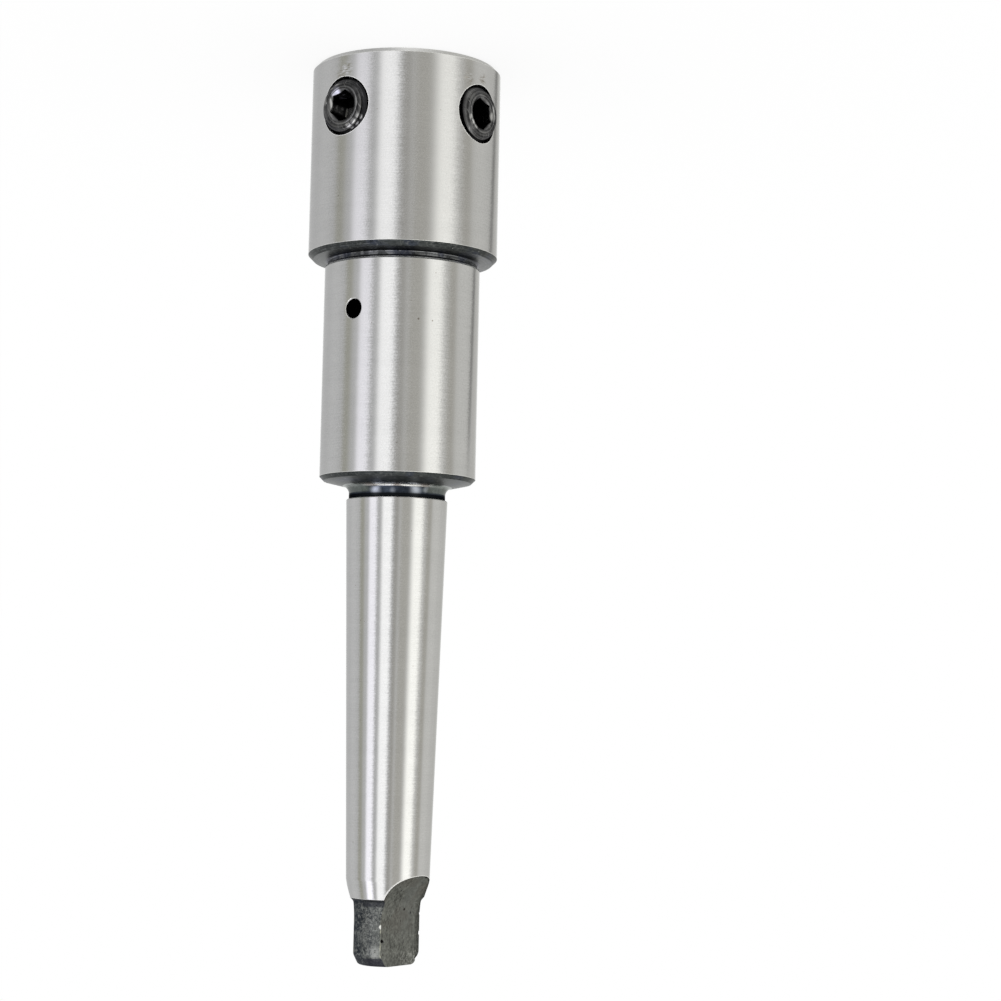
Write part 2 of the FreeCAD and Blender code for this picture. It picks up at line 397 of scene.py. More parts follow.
# %% Floor
bpy.ops.object.select_all(action="DESELECT")
bpy.ops.mesh.primitive_circle_add(vertices=64, radius=3.0, fill_type="NGON")
floor = bpy.context.object
floor.name = "floor"
floor.visible_glossy = False
floor_paint = bpy.data.materials.new("floor_paint")
floor_paint.use_nodes = True
sheet = NodeSheet(floor_paint.node_tree)
floor_camera = sheet.node("LightPath", out="Is Camera Ray")
shadow_share = 0.15
matt = sheet.node("BsdfDiffuse", None, {"Color": white})
clean = sheet.node("Emission", None, {"Color": white, "Strength": 1.0})
floor_share = floor_camera * (1 - shadow_share)
sheet.finish(sheet.node("MixShader", None, {0: floor_share, 1: matt, 2: clean}))
floor.data.materials.append(floor_paint)
floor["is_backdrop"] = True

# %% [markdown]
# ## Ground steel
# The collar, the neck and the taper are ground on centres. The wheel leaves very fine lines round
# the axis, which hardly show on an even reflection but fray the borders of the bright bands.
# Leaning the normal a little sideways, line by line, does just that. Grit noise gives the satin
# sparkle, and a few scattered points are specks and pinpricks.

# %% Starting a finish
finishes = {}


def new_finish(name):
    """A new material with an empty node sheet, and the place on the object, in metres."""
    material = bpy.data.materials.new(name)
    material.use_nodes = True
    finishes[name] = material
    sheet = NodeSheet(material.node_tree)
    return sheet, sheet.node("TexCoord", out="Object")


def coated(sheet, colour, roughness, normal=None, edge_tint=None):
    """Connects one Principled shader and closes the sheet."""
    inputs = {"Base Color": colour, "Roughness": roughness, "Metallic": 1.0}
    if normal:
        inputs["Normal"] = normal
    if edge_tint:
        inputs["Specular Tint"] = edge_tint
    sheet.finish(sheet.node("BsdfPrincipled", None, inputs))


def spot(sheet, place, centre, radius, soft=0.4):
    """1 within a radius of a point, all in millimetres, 0 outside."""
    centre_m = tuple(v * MM for v in centre)
    return sheet.distance(place, centre_m).below(radius * (1 - soft) * MM, radius * (1 + soft) * MM)


# %% [markdown]
# The two screw holes aren't quite alike: the first was drilled a little off centre and nearer the
# mouth. Their places come here, because the ground finish has a bright rim round each hole, partly
# deburred steel and partly a painted highlight. Each place names the coordinate that runs across
# the hole.

# %% Where the set screws stand
screw_places = {
    "screw_1": ("y", (0, 0.4, 9.88)),
    "screw_2": ("x", (0, 0, 10.1)),
}


def from_screw(place, name):
    """Distances of a point from a screw's place: sideways, upwards and out from the axis."""
    x, y, z = place
    axis, centre = screw_places[name]
    across, out = (y, x) if axis == "y" else (x, y * -1)
    return across - centre["xyz".index(axis)] * MM, z - centre[2] * MM, out


def hole_distance(place, name):
    """Distance from the axis of a screw hole, on the side where the hole is."""
    sideways, up, out = from_screw(place, name)
    return sideways.hypot(up) + (out * -1).over(-1, 0)


# %% Ground surfaces
def milled_depth(y, z):
    """How far a point lies inside the milling cutter's sweep at the tang, in metres."""
    cutter_r = tang_runout_r * MM
    rise = (tang_flat_start_z * MM - z).at_least(0.0).at_most(cutter_r)
    cutter_side = (cutter_r ** 2 - rise * rise).root()
    return y.size() - (tang_half_thickness * MM + cutter_r - cutter_side)


def ground_steel(name, tone, roughness, waver, marks=(), rubs=()):
    """Marks are dark pinpricks and rubs are handling marks, each a centre and a radius in mm."""
    sheet, place = new_finish(name)
    x, y, z = sheet.split(place)
    lines = sheet.noise((x * 330, y * 330, z * 8200), detail=1)
    grit = sheet.noise(place, 3600, detail=3, roughness=0.6)
    patches = sheet.noise((x * 40, y * 40, z * 420), detail=2)
    away, pick = sheet.cells(place, 820)
    speck = away.below(0.05, 0.1) * pick.above(0.955, 0.96)
    for centre, radius in marks:
        speck = speck + spot(sheet, place, centre, radius)
    # Burr and painted highlight: a thin near-white line where the milled run-out meets the taper
    # and a rim round each screw hole, partly deburred steel and partly a painted edge highlight.
    burr_and_edge_highlight = milled_depth(y, z).over(-0.32, -0.14) * z.over(143, 144)
    for screw in screw_places:
        burr_and_edge_highlight = burr_and_edge_highlight + hole_distance((x, y, z), screw).under(5.3, 5.38)
    burr_and_edge_highlight = burr_and_edge_highlight.at_most(1.0)
    rub = 0.0
    for centre, radius in rubs:
        rub = spot(sheet, place, centre, radius, 0.6) + rub
    shade = 1 + lines.swing(0.12) + grit.swing(0.3) + patches.swing(0.09)
    steel = sheet.shaded(tone, shade)
    steel = steel.layer(speck.at_most(1.0), (0.33, 0.3, 0.27))
    steel = steel.layer(burr_and_edge_highlight, (0.98, 0.98, 0.98))
    around = sheet.across("NORMALIZE", sheet.vector(y * -1, x, 0.0))
    tilt = lines.swing(waver * 0.5) + grit.swing(waver)
    if rubs:
        streaks = sheet.noise((x * 900, y * 900, z * 4200), detail=2)
        tilt = tilt + rub * streaks.swing(0.8)
        steel = steel.layer(rub * streaks.above(0.5, 0.62) * 0.8, (0.36, 0.33, 0.29))
    lean = sheet.shaded(around, tilt)
    normal = sheet.node("NewGeometry", out="Normal")
    normal = sheet.across("NORMALIZE", sheet.across("ADD", normal, lean))
    gloss = roughness + grit.swing(0.06) + patches.swing(0.04) + burr_and_edge_highlight * 0.4
    coated(sheet, steel, gloss, normal)


hole_rubs = [
    ((17.0, 0.1, 3.4), 1.2),
    ((16.9, 1.3, 4.3), 0.8),
    ((3.3, -16.8, 4.3), 1.0),
    ((-0.6, -17.1, 3.9), 1.0),
]
neck_marks = [
    ((8.66, -11.0, 47.56), 0.17),
    ((6.5, -12.4, 47.72), 0.13),
]
ground_steel("collar_ground", (0.65, 0.648, 0.647), 0.18, 0.062, rubs=hole_rubs)
ground_steel("neck_ground", (0.67, 0.669, 0.668), 0.16, 0.07, neck_marks)
ground_steel("taper_ground", (0.7, 0.699, 0.698), 0.13, 0.055)
ground_steel("bore_ground", (0.5, 0.5, 0.5), 0.3, 0.1)
print("ground finishes:", *finishes)

# %% [markdown]
# ## Edges, turned faces and blackened skin
# A broken edge is a rougher steel, and its pale tone is partly a painted highlight for the light it
# catches. Faces that were turned and then hardened keep a blue-black skin with fine turning rings,
# and small knocks and chatter marks shine through it; pale streaks along the rings are painted
# glints. The edge tint sets how bright the skin is at a shallow angle.

# %% Edge and turned finishes
def turned_rings(sheet, place, pitch_per_m=9000, waviness=6):
    """Fine rings round the axis, on faces, cones and cylinders alike."""
    x, y, z = sheet.split(place)
    radius = x.hypot(y)
    return sheet.noise((radius * pitch_per_m, z * pitch_per_m, x * waviness), detail=1)


def bright_edge(name, tone, roughness):
    sheet, place = new_finish(name)
    wear = sheet.noise(place, 1500, detail=3)
    rings = turned_rings(sheet, place)
    shade = 0.86 + wear * 0.16 + rings * 0.1
    coated(sheet, sheet.shaded(tone, shade), roughness + wear.swing(0.2))


def blackened(name, tone, roughness, ring_depth, knocks, edge, pitch_per_m, ridge, glints):
    sheet, place = new_finish(name)
    rings = turned_rings(sheet, place, pitch_per_m)
    mottle = sheet.noise(place, 1600, detail=4, roughness=0.7)
    bloom = sheet.noise(place, 240, detail=2)
    shade = 1 + rings.swing(ring_depth) + mottle.swing(0.9)
    skin = sheet.shaded(tone, shade)
    blue = sheet.across("MULTIPLY", skin, (0.9, 0.94, 1.22))
    skin = sheet.blend(bloom.above(0.52, 0.66), skin, blue)
    skin = skin.layer(mottle.above(0.53, 0.68) * 0.6, (0.19, 0.195, 0.195))
    skin = skin.layer(mottle.below(0.36, 0.44) * 0.7, (0.02, 0.022, 0.024))
    streaks = sheet.noise(place, 700, detail=2).above(0.44, 0.58)
    # Painted glints: pale streaks along the turning rings, as much as the glints share.
    skin = skin.layer(rings.above(0.52, 0.6) * streaks * glints, (0.5, 0.51, 0.53))
    away, pick = sheet.cells(place, 1150)
    knock = away.below(0.06, 0.13) * pick.above(1 - knocks, 1.002 - knocks)
    skin = skin.layer(knock, (0.5, 0.5, 0.5))
    height = rings * 0.5 + mottle * 0.5
    normal = sheet.bump(height, 0.7, ridge)
    gloss = roughness + mottle.swing(0.25)
    coated(sheet, skin, gloss, normal, edge_tint=(edge, edge, edge * 1.05))


# The edge finish is near white: rougher worn steel with a painted highlight on the broken edges.
bright_edge("edge", (0.93, 0.93, 0.92), 0.4)
bright_edge("mouth_chamfer", (0.66, 0.66, 0.65), 0.36)
blackened("collar_back", (0.058, 0.064, 0.064), 0.36, 0.9, 0.16, 1.0, 9000, 0.045, 0.12)
blackened("undercut", (0.07, 0.073, 0.077), 0.3, 1.5, 0.3, 0.8, 5200, 0.06, 0.55)
blackened("neck_back", (0.066, 0.073, 0.073), 0.38, 0.8, 0.08, 1.0, 9000, 0.045, 0.08)
print("finishes so far:", len(finishes))

# %% [markdown]
# The groove was formed by a round-nosed tool. Its bottom has a blue oxide skin, with soft glints
# painted on it as highlights. Away from the side that faces the camera, the fillet is painted a
# greenish grey as a sheen, and the last corner is painted nearly black as shade. The rim of the
# fillet is partly polished and stained brown, with a painted white highlight on the front. A glint
# is a centre, a radius and a share.

# %% Groove and tapped holes
groove_glints = [
    ((8.4, -1.98, 77.2), 0.75, 0.75),
    ((4.17, -7.56, 77.15), 0.8, 0.6),
    ((2.26, -8.34, 76.8), 0.45, 0.5),
    ((7.2, -4.9, 77.25), 0.4, 0.3),
]


def groove_steel(name, edge_tint):
    sheet, place = new_finish(name)
    x, y, z = sheet.split(place)
    stain = sheet.noise(place, 260, detail=3)
    mottle = sheet.noise(place, 1400, detail=3)
    rings = turned_rings(sheet, place)
    front = (x * math.sin(VIEW_AZIMUTH) - y * math.cos(VIEW_AZIMUTH)).over(6.5, 7.9)
    shade = 1 + rings.swing(0.8) + mottle.swing(1.1)
    blue = sheet.shaded((0.042, 0.052, 0.072), shade)
    # Painted sheen: away from the side that faces the camera, the skin is painted greenish grey.
    side = sheet.shaded((0.165, 0.185, 0.178), shade)
    blue = sheet.blend((1 - front) * z.under(77.1, 77.7), blue, side)
    # Painted highlights: soft pale glints at the listed points on the oxide.
    for centre, radius, share in groove_glints:
        glint = spot(sheet, place, centre, radius, 0.9) * (rings * 0.5 + 0.6)
        blue = blue.layer(glint * share, (0.6, 0.64, 0.72))
    # Polish and painted highlight: the fillet's rim is painted white with brown stains on the side
    # facing the camera, and greenish grey at the sides.
    polish_and_highlight = sheet.blend(stain.above(0.44, 0.54), white, (0.46, 0.42, 0.4))
    side = sheet.shaded((0.3, 0.325, 0.315), shade)
    polish_and_highlight = sheet.blend(front, side, polish_and_highlight)
    skin = sheet.blend(z.under(76.36, 76.56), blue, polish_and_highlight)
    # Painted shade: the last corner of the groove, next to the taper, is painted nearly black.
    painted_corner_shade = z.over(77.5, 77.8) * z.under(78.36, 78.42)
    skin = skin.layer(painted_corner_shade * 0.85, (0.006, 0.007, 0.007))
    normal = sheet.bump(rings * 0.5 + mottle * 0.5, 0.5, 0.03)
    gloss = 0.26 + mottle.swing(0.2) + painted_corner_shade * 0.3
    coated(sheet, skin, gloss, normal, edge_tint=(edge_tint,) * 3)


groove_steel("groove_fillet", 0.9)
groove_steel("groove", 0.4)

# Painted light and shade in the holes: the thread near the collar's surface is painted lit grey
# with pale flecks, and everywhere deeper the finish is nearly black, painted shade.
sheet, place = new_finish("hole")
x, y, z = sheet.split(place)
from_axis = x.hypot(y)
flecks = sheet.noise(place, 1500, detail=3)
lit = from_axis.over(14.2, 15.6) * z.under(30, 31)
shade = lit * (0.5 + flecks.above(0.48, 0.66) * 1.4) * 0.36
thread = sheet.across("ADD", (0.01,) * 3, sheet.shaded((1.0, 1.0, 0.99), shade))
coated(sheet, thread, 0.34 + flecks.swing(0.3), sheet.bump(flecks, 0.5, 0.04))

# %% [markdown]
# ## The tang's skin
# The tang was never ground. Its round sides are furnace scale, blue-black with pale flecks and
# little rings where scale has flaked, and the milled flats are a dull olive grey with smears. The
# arrises between them are rubbed bright in places, with a painted highlight along them and a
# painted glint on the near arris. A black spot at one corner of a run-out is a pit with a painted
# shadow.

# %% Tang finishes
def arris_gap(x, y):
    """Distance from the four long arrises of the tang, across the axis, in metres."""
    arris_x = math.sqrt(tang_r ** 2 - tang_half_thickness ** 2) * MM
    across_x = x.size() - arris_x
    across_y = y.size() - tang_half_thickness * MM
    return across_x.hypot(across_y)


def tang_side():
    sheet, place = new_finish("tang_side")
    x, y, z = sheet.split(place)
    scale_spots = sheet.noise(place, 1900, detail=4, roughness=0.7, distortion=0.8)
    clouds = sheet.noise(place, 380, detail=2)
    away, pick = sheet.cells(place, 2100)
    flake_ring = (away - 0.34).size().below(0.04, 0.16) * pick.above(0.4, 0.6)
    pit = away.below(0.12, 0.3) * pick.above(0.86, 0.9)
    blue_side = (y + x * 0.2).over(0.4, 2.6)
    dark = sheet.blend(clouds.above(0.4, 0.6), (0.068, 0.074, 0.074), (0.135, 0.143, 0.137))
    dark = dark.layer(blue_side * 0.5, (0.04, 0.05, 0.068))
    skin = sheet.blend(scale_spots.above(0.46, 0.64) * 0.8, dark, (0.33, 0.34, 0.325))
    skin = skin.layer(scale_spots.below(0.34, 0.44) * 0.7, (0.018, 0.022, 0.032))
    skin = skin.layer(flake_ring * 0.3, (0.33, 0.34, 0.33))
    polished = spot(sheet, place, (5.75, -2.1, 157.9), 1.0, 0.7)
    skin = skin.layer(polished * scale_spots.above(0.3, 0.5) * 0.8, (0.42, 0.43, 0.41))
    end_band = z.over(158.75, 159.05) * (1 - blue_side * 0.75)
    skin = skin.layer(end_band * 0.8, (0.035, 0.036, 0.048))
    neck_band = z.under(149.8, 150.2) * (1 - blue_side * 0.5)
    skin = skin.layer(neck_band * 0.7, (0.03, 0.032, 0.042))
    skin = skin.layer(pit * 0.8, (0.008, 0.009, 0.012))
    # Rubbed and painted highlight: the arrises are lighter in broken streaks, partly worn steel and
    # partly a painted edge highlight.
    rub_and_highlight = sheet.noise((x * 300, y * 300, z * 900), detail=2).above(0.44, 0.56)
    arris = arris_gap(x, y).under(0.08, 0.24) * (rub_and_highlight * 0.7 + 0.2) * z.over(151.5, 153)
    skin = skin.layer(arris, (0.5, 0.5, 0.4))
    # Painted glint: a near-white dot on the near arris.
    skin = skin.layer(spot(sheet, place, (5.31, -3.1, 153.4), 0.35), (0.95, 0.95, 0.9))
    normal = sheet.bump(scale_spots * 0.6 + flake_ring * 0.3 - pit, 0.9, 0.06)
    gloss = 0.46 + scale_spots.swing(0.5) - arris * 0.1
    coated(sheet, skin, gloss, normal, edge_tint=(0.5, 0.5, 0.53))


def tang_flat():
    sheet, place = new_finish("tang_flat")
    x, y, z = sheet.split(place)
    smeared = (x * 900, y * 900, z * 560)
    smear = sheet.noise(smeared, detail=4, roughness=0.65, distortion=0.9)
    fine = sheet.noise((x * 2300, y * 2300, z * 1800), detail=3, roughness=0.7)
    clouds = sheet.noise(place, 260, detail=2)
    away, pick = sheet.cells(sheet.vector(x, y, z * 0.6), 1500)
    pit = away.below(0.12, 0.3) * pick.above(0.84, 0.88)
    shade = 1 + smear.swing(1.7) + fine.swing(2.4) + clouds.swing(1.0)
    skin = sheet.shaded((0.2, 0.205, 0.19), shade.at_least(0.15))
    wiped = (x * -1).over(-1.2, 0.6) * (x * -1).under(2.6, 4.2) * z.under(152, 157)
    skin = skin.layer(wiped * 0.45, (0.235, 0.245, 0.235))
    past_taper = (z - taper_end_z * MM).at_least(0.0)
    skin_r = taper_end_r * MM - past_taper * math.tan(lead_cone_angle)
    to_skin = skin_r - x.hypot(y)
    on_runout = to_skin.under(0.12, 0.3) * z.under(149, 149.4)
    far_edge = (x * -1).over(3.9, 4.9) * smear.above(0.35, 0.5)
    border = on_runout.at_least(far_edge * 0.8)
    skin = skin.layer(border * 0.75, (0.035, 0.037, 0.036))
    skin = skin.layer(pit * 0.8, (0.03, 0.03, 0.032))
    # Dark spots: a pit on the flat, and at the run-out's corner a pit with a painted shadow.
    pit_and_shadow_spots = spot(sheet, place, (-0.8, -3.1, 150.6), 0.3)
    pit_and_shadow_spots = pit_and_shadow_spots + spot(sheet, place, (-2.3, -7.05, 144.9), 0.42)
    skin = skin.layer(pit_and_shadow_spots, (0.012, 0.012, 0.012))
    brown = clouds.above(0.5, 0.62) * z.under(153, 156)
    skin = skin.layer(brown * 0.35, (0.13, 0.115, 0.1))
    worn_end = fine.above(0.5, 0.6) * z.over(157.2, 159.2) * (x * -1).over(-2, 3)
    skin = skin.layer(worn_end * 0.7, (0.5, 0.5, 0.48))
    height = smear * 0.5 + fine * 0.3 - pit * 0.8 - pit_and_shadow_spots
    normal = sheet.bump(height, 0.9, 0.06)
    gloss = 0.5 + smear.swing(0.4)
    coated(sheet, skin, gloss, normal, edge_tint=(0.5, 0.5, 0.48))


tang_side()
tang_flat()
print("all finishes of the body:", *finishes)

# %% [markdown]
# ## Turning a piece
# A lathe sweeps an outline round an axis. Here a plane is merged to one point, the point is drawn
# along the outline by extruding it, and Spin turns the outline into a solid. A corner's third
# number rounds it, a fourth entry names the finish from there on, and a fifth the finish of the
# rounding itself, so that each turned face gets its material before a hole is cut.

# %% Outline with rounded corners
def rounded_outline(corners, arc_steps=10):
    """Points (radius, height) in mm along the corners, each with the finish that follows it."""
    points = []
    finish = None
    for i, corner in enumerate(corners):
        r, z, radius, named, arc_finish = corner + (0, None, None)[len(corner) - 2:]
        here = complex(r, z)
        finish = named or finish
        if not radius:
            points.append((here, finish))
            continue
        before = complex(*corners[i - 1][:2]) - here
        after = complex(*corners[i + 1][:2]) - here
        before /= abs(before)
        after /= abs(after)
        half = abs(cmath.phase(after / before)) / 2
        middle = (before + after) / abs(before + after)
        centre = here + middle * radius / math.sin(half)
        start = here + before * radius / math.tan(half) - centre
        sweep = cmath.phase((here + after * radius / math.tan(half) - centre) / start)
        for step in range(arc_steps + 1):
            point = centre + start * cmath.exp(1j * sweep * step / arc_steps)
            points.append((point, finish if step == arc_steps else arc_finish or finish))
    return points


# %% Drawing and closing
def draw_outline(name, points):
    """A new mesh that is one row of edges in the XZ plane, left in edit mode with all selected."""
    bpy.ops.object.select_all(action="DESELECT")
    bpy.ops.mesh.primitive_plane_add(size=MM)
    piece = bpy.context.object
    piece.name = name
    piece.data.name = name
    bpy.ops.object.mode_set(mode="EDIT")
    bpy.ops.mesh.select_mode(type="VERT")
    bpy.ops.mesh.select_all(action="SELECT")
    bpy.ops.mesh.merge(type="CENTER")
    bpy.ops.transform.translate(value=(points[0].real * MM, 0, points[0].imag * MM))
    for start, end in zip(points, points[1:]):
        step = (end - start) * MM
        move = {"value": (step.real, 0, step.imag)}
        bpy.ops.mesh.extrude_region_move(TRANSFORM_OT_translate=move)
    bpy.ops.mesh.select_all(action="SELECT")
    return piece


def close_seams():
    """Merges doubled points and turns all faces outwards, in edit mode."""
    bpy.ops.mesh.select_all(action="SELECT")
    bpy.ops.mesh.remove_doubles(threshold=0.0005 * MM)
    bpy.ops.mesh.select_all(action="SELECT")
    bpy.ops.mesh.normals_make_consistent(inside=False)
    bpy.ops.object.mode_set(mode="OBJECT")


def extruded(name, points, depth):
    """A flat outline in the XZ plane, drawn out along Y by a depth in millimetres."""
    piece = draw_outline(name, points)
    bpy.ops.mesh.edge_face_add()
    bpy.ops.mesh.extrude_region_move(TRANSFORM_OT_translate={"value": (0, depth * MM, 0)})
    close_seams()
    return piece


def lathe(name, corners, columns=128, arc_steps=6):
    """A solid turned about Z from corners (radius, height[, rounding[, finish]]) in millimetres."""
    piece = draw_outline(name, [point for point, _ in rounded_outline(corners, arc_steps)])
    bpy.ops.mesh.spin(steps=columns, angle=2 * math.pi, center=(0, 0, 0), axis=(0, 0, 1))
    close_seams()
    return piece


# %% Cutting, placing and smoothing
def only(piece):
    """Selects one piece and makes it active."""
    bpy.ops.object.select_all(action="DESELECT")
    bpy.context.view_layer.objects.active = piece
    piece.select_set(True)


def boolean(piece, other, operation="DIFFERENCE", finish=None):
    """Cuts another mesh out of a piece, joins them or keeps what both share."""
    if finish:
        other.data.materials.append(finishes[finish])
    only(piece)
    cut = piece.modifiers.new("cut", "BOOLEAN")
    cut.operation = operation
    cut.solver = "EXACT"
    cut.material_mode = "TRANSFER" if finish else "INDEX"
    cut.object = other
    bpy.ops.object.modifier_apply(modifier=cut.name)
    bpy.data.objects.remove(other)
    return piece


def shifted(x, y, z):
    """Placement moved by millimetres."""
    return Matrix.Translation((x * MM, y * MM, z * MM))


def turned(degrees, axis="Z"):
    return Matrix.Rotation(math.radians(degrees), 4, axis)


def put(piece, placement):
    """Sets a piece in its place and writes the place into its mesh."""
    only(piece)
    piece.matrix_world = placement
    bpy.ops.object.transform_apply(location=True, rotation=True, scale=True)
    return piece


def smooth(piece, degrees=25):
    """Smooth shading, with an edge kept wherever two faces meet at more than the angle."""
    only(piece)
    bpy.ops.object.shade_smooth_by_angle(angle=math.radians(degrees))


def paint(piece, finish, degrees=25):
    """One finish all over a piece, and smooth shading."""
    piece.data.materials.clear()
    piece.data.materials.append(finishes[finish])
    smooth(piece, degrees)


def radial(azimuth_degrees, height):
    """Placement that turns +Z outwards at an azimuth and +Y upwards, at a height in millimetres."""
    bearing = math.radians(azimuth_degrees)
    outwards = Vector((math.cos(bearing), math.sin(bearing), 0))
    sideways = Vector((-math.sin(bearing), math.cos(bearing), 0))
    upwards = Vector((0, 0, 1))
    axes = Matrix((sideways, upwards, outwards)).transposed()
    return shifted(0, 0, height) @ axes.to_4x4()


# %% [markdown]
# ## The arbor's body
# One bar of steel: bored from the mouth, turned, hardened, and ground on the collar, the neck and
# the taper. The outline goes down inside and up outside. It is turned in many columns,
# because a ground cylinder shows every facet in its bands.

# %% Outline of the body
back_chamfer_z = collar_length - collar_back_rise
neck_back_z = neck_end_z + neck_end_chamfer
lead_end_z = taper_end_z + (taper_end_r - lead_end_r) / math.tan(lead_cone_angle)
tang_end_r = tang_r - tang_end_chamfer
ring_groove_r = 7.3
ring_groove_z = 34.4
ring_groove_top_z = 35.5
drill_r = 4.0
drill_tip = drill_r / math.tan(math.radians(59))
centre_cone = (centre_mouth_r - centre_drill_r) / math.tan(math.radians(30))
inside = [
    (0, chamber_end_z + drill_tip, 0, "bore_ground"),
    (drill_r, chamber_end_z),
    (chamber_r, chamber_end_z),
    (chamber_r, ring_groove_top_z),
    (ring_groove_r, ring_groove_top_z),
    (ring_groove_r, ring_groove_z),
    (chamber_r, ring_groove_z),
    (chamber_r, socket_depth),
    (socket_r, socket_depth),
    (socket_r, socket_lead_in, 0, "mouth_chamfer"),
    (socket_r + socket_lead_in, 0),
]
outside = [
    (collar_r - mouth_chamfer, 0, 0.12, "mouth_chamfer", "edge"),
    (collar_r, mouth_chamfer, 0.12, "collar_ground", "edge"),
    (collar_r, back_chamfer_z - collar_back_chamfer, 0.1, "collar_back", "edge"),
    (collar_r - collar_back_chamfer, back_chamfer_z, 0.08),
    (undercut_r, collar_length, undercut_corner, "undercut"),
    (undercut_r, neck_start_z - 0.05, 0.4),
    (neck_r - edge_break, neck_start_z - edge_break, 0, "edge"),
    (neck_r, neck_start_z + edge_break, 0, "neck_ground"),
    (neck_r, neck_end_z, 0.1, "neck_back", "edge"),
    (neck_r - neck_end_chamfer, neck_back_z, 0.1),
    (groove_r, neck_back_z + neck_end_rise, groove_fillet, "groove", "groove_fillet"),
    (groove_r, taper_start_z - 0.1, 0.1),
    (taper_start_r - edge_break, taper_start_z, 0, "edge"),
    (taper_start_r, taper_start_z + edge_break, 0, "taper_ground"),
    (taper_end_r, taper_end_z, 0.6),
    (lead_end_r, lead_end_z, 0.12, "tang_side", "edge"),
    (tang_r, lead_end_z + tang_step_length, tang_neck_fillet),
    (tang_r, end_z - tang_end_chamfer_length, tang_end_rounding),
    (tang_end_r, end_z, tang_end_rounding),
    (centre_mouth_r, end_z),
    (centre_drill_r, end_z - centre_cone),
    (centre_drill_r, end_z - centre_depth),
    (0, end_z - centre_depth - centre_drill_r),
]
body_columns = 512
arbor = lathe("arbor_body_turned", inside + outside, body_columns, arc_steps=10)
print("turned body:", len(arbor.data.polygons), "faces")

# %% [markdown]
# Each face gets the finish of the line that it was turned from. Faces in one row all have the
# same radius and height, so the nearest line is looked up once a row.

# %% Finishes of the turned faces
body_finishes = list(finishes)
for material in finishes.values():
    arbor.data.materials.append(material)
body_line = rounded_outline(inside + outside, 10)


def finish_near(radius, height):
    """Finish of the outline's line that runs nearest to a radius and height in millimetres."""
    here = complex(radius, height)
    nearest = (math.inf, None)
    for (start, finish), (end, _) in zip(body_line, body_line[1:]):
        along = end - start
        share = ((here - start) * along.conjugate()).real / max(abs(along) ** 2, 1e-12)
        gap = abs(start + along * min(1, max(0, share)) - here)
        nearest = min(nearest, (gap, finish), key=lambda entry: entry[0])
    return nearest[1]


row_finish = {}
for face in arbor.data.polygons:
    row = (round(math.hypot(face.center.x, face.center.y) / MM, 3), round(face.center.z / MM, 3))
    if row not in row_finish:
        row_finish[row] = body_finishes.index(finish_near(*row))
    face.material_index = row_finish[row]
print("rows:", len(row_finish))

# %% [markdown]
# ## A screw thread
# A thread is one groove that climbs as it goes round. The outline of one turn is drawn, the Screw
# modifier winds it, and both ends are closed. That makes the rod that a set screw is cut from and
# the tap that cuts its hole.

# %% Wound solids
def wound(piece, climb, turns, columns):
    """Winds the drawn edges round Z with a climb in millimetres a turn, and closes both ends."""
    bpy.ops.object.mode_set(mode="OBJECT")
    winding = piece.modifiers.new("winding", "SCREW")
    winding.axis = "Z"
    winding.angle = 2 * math.pi
    winding.screw_offset = climb * MM
    winding.iterations = turns
    winding.steps = columns
    winding.render_steps = columns
    bpy.ops.object.modifier_apply(modifier=winding.name)
    bpy.ops.object.mode_set(mode="EDIT")
    bpy.ops.mesh.select_all(action="SELECT")
    bpy.ops.mesh.remove_doubles(threshold=0.0005 * MM)
    bpy.ops.mesh.select_all(action="DESELECT")
    bpy.ops.mesh.select_non_manifold()
    bpy.ops.mesh.edge_face_add()
    close_seams()
    return piece


def threaded_rod(name, root_r, crest_r, pitch, turns, columns):
    """A threaded rod along +Z from height 0, in millimetres."""
    outline = [
        complex(root_r, 0),
        complex(root_r, 0.12 * pitch),
        complex(crest_r, 0.44 * pitch),
        complex(crest_r, 0.56 * pitch),
        complex(root_r, 0.88 * pitch),
        complex(root_r, pitch),
    ]
    return wound(draw_outline(name, outline), pitch, turns, columns)


# %% [markdown]
# ## Holes in the body
# The socket is tapped on two sides for the set screws, and a small port leads coolant from the
# neck into the chamber. Each hole is a cutter of its own: a tap, a countersink and a plain drill.

# %% Tapped holes
screw_azimuths = {"screw_1": 0, "screw_2": -90}
pitch = 1.5
hole_r = 5.02
mouth_r = 5.22
tap_start = 7.0
tap_turn = 3.3


def at_screw(name):
    """Placement of a set screw's own axis, which runs outwards from the arbor's axis."""
    x, y, z = screw_places[name][1]
    return shifted(x, y, 0) @ radial(screw_azimuths[name], z)


for name in screw_places:
    tap = threaded_rod("tap", hole_r, mouth_r + 0.03, pitch, turns=9, columns=64)
    entry = turned(tap_turn) @ shifted(0, 0, tap_start)
    boolean(arbor, put(tap, at_screw(name) @ entry), finish="hole")
    sink = lathe("countersink", [
        (0, collar_r - 1.5),
        (hole_r - 0.1, collar_r - 1.5),
        (mouth_r, collar_r - 1.18),
        (mouth_r, collar_r + 1),
        (0, collar_r + 1),
    ], columns=96)
    boolean(arbor, put(sink, at_screw(name)), finish="hole")
    print(name, "hole cut:", len(arbor.data.polygons), "faces")

# %% Coolant port
port_azimuth = -2.0
port_r = 1.75
port_z = 45.6
port_chamfer = 0.18
drill = lathe("port_drill", [(0, 4), (port_r, 4), (port_r, 16), (0, 16)], columns=64)
boolean(arbor, put(drill, radial(port_azimuth, port_z)), finish="hole")
port_sink = lathe("port_countersink", [
    (0, neck_r - port_chamfer),
    (port_r, neck_r - port_chamfer),
    (port_r + 1, neck_r - port_chamfer + 1),
    (0, neck_r - port_chamfer + 1),
], columns=64)
boolean(arbor, put(port_sink, radial(port_azimuth, port_z)), finish="edge")
print("port cut:", len(arbor.data.polygons), "faces")

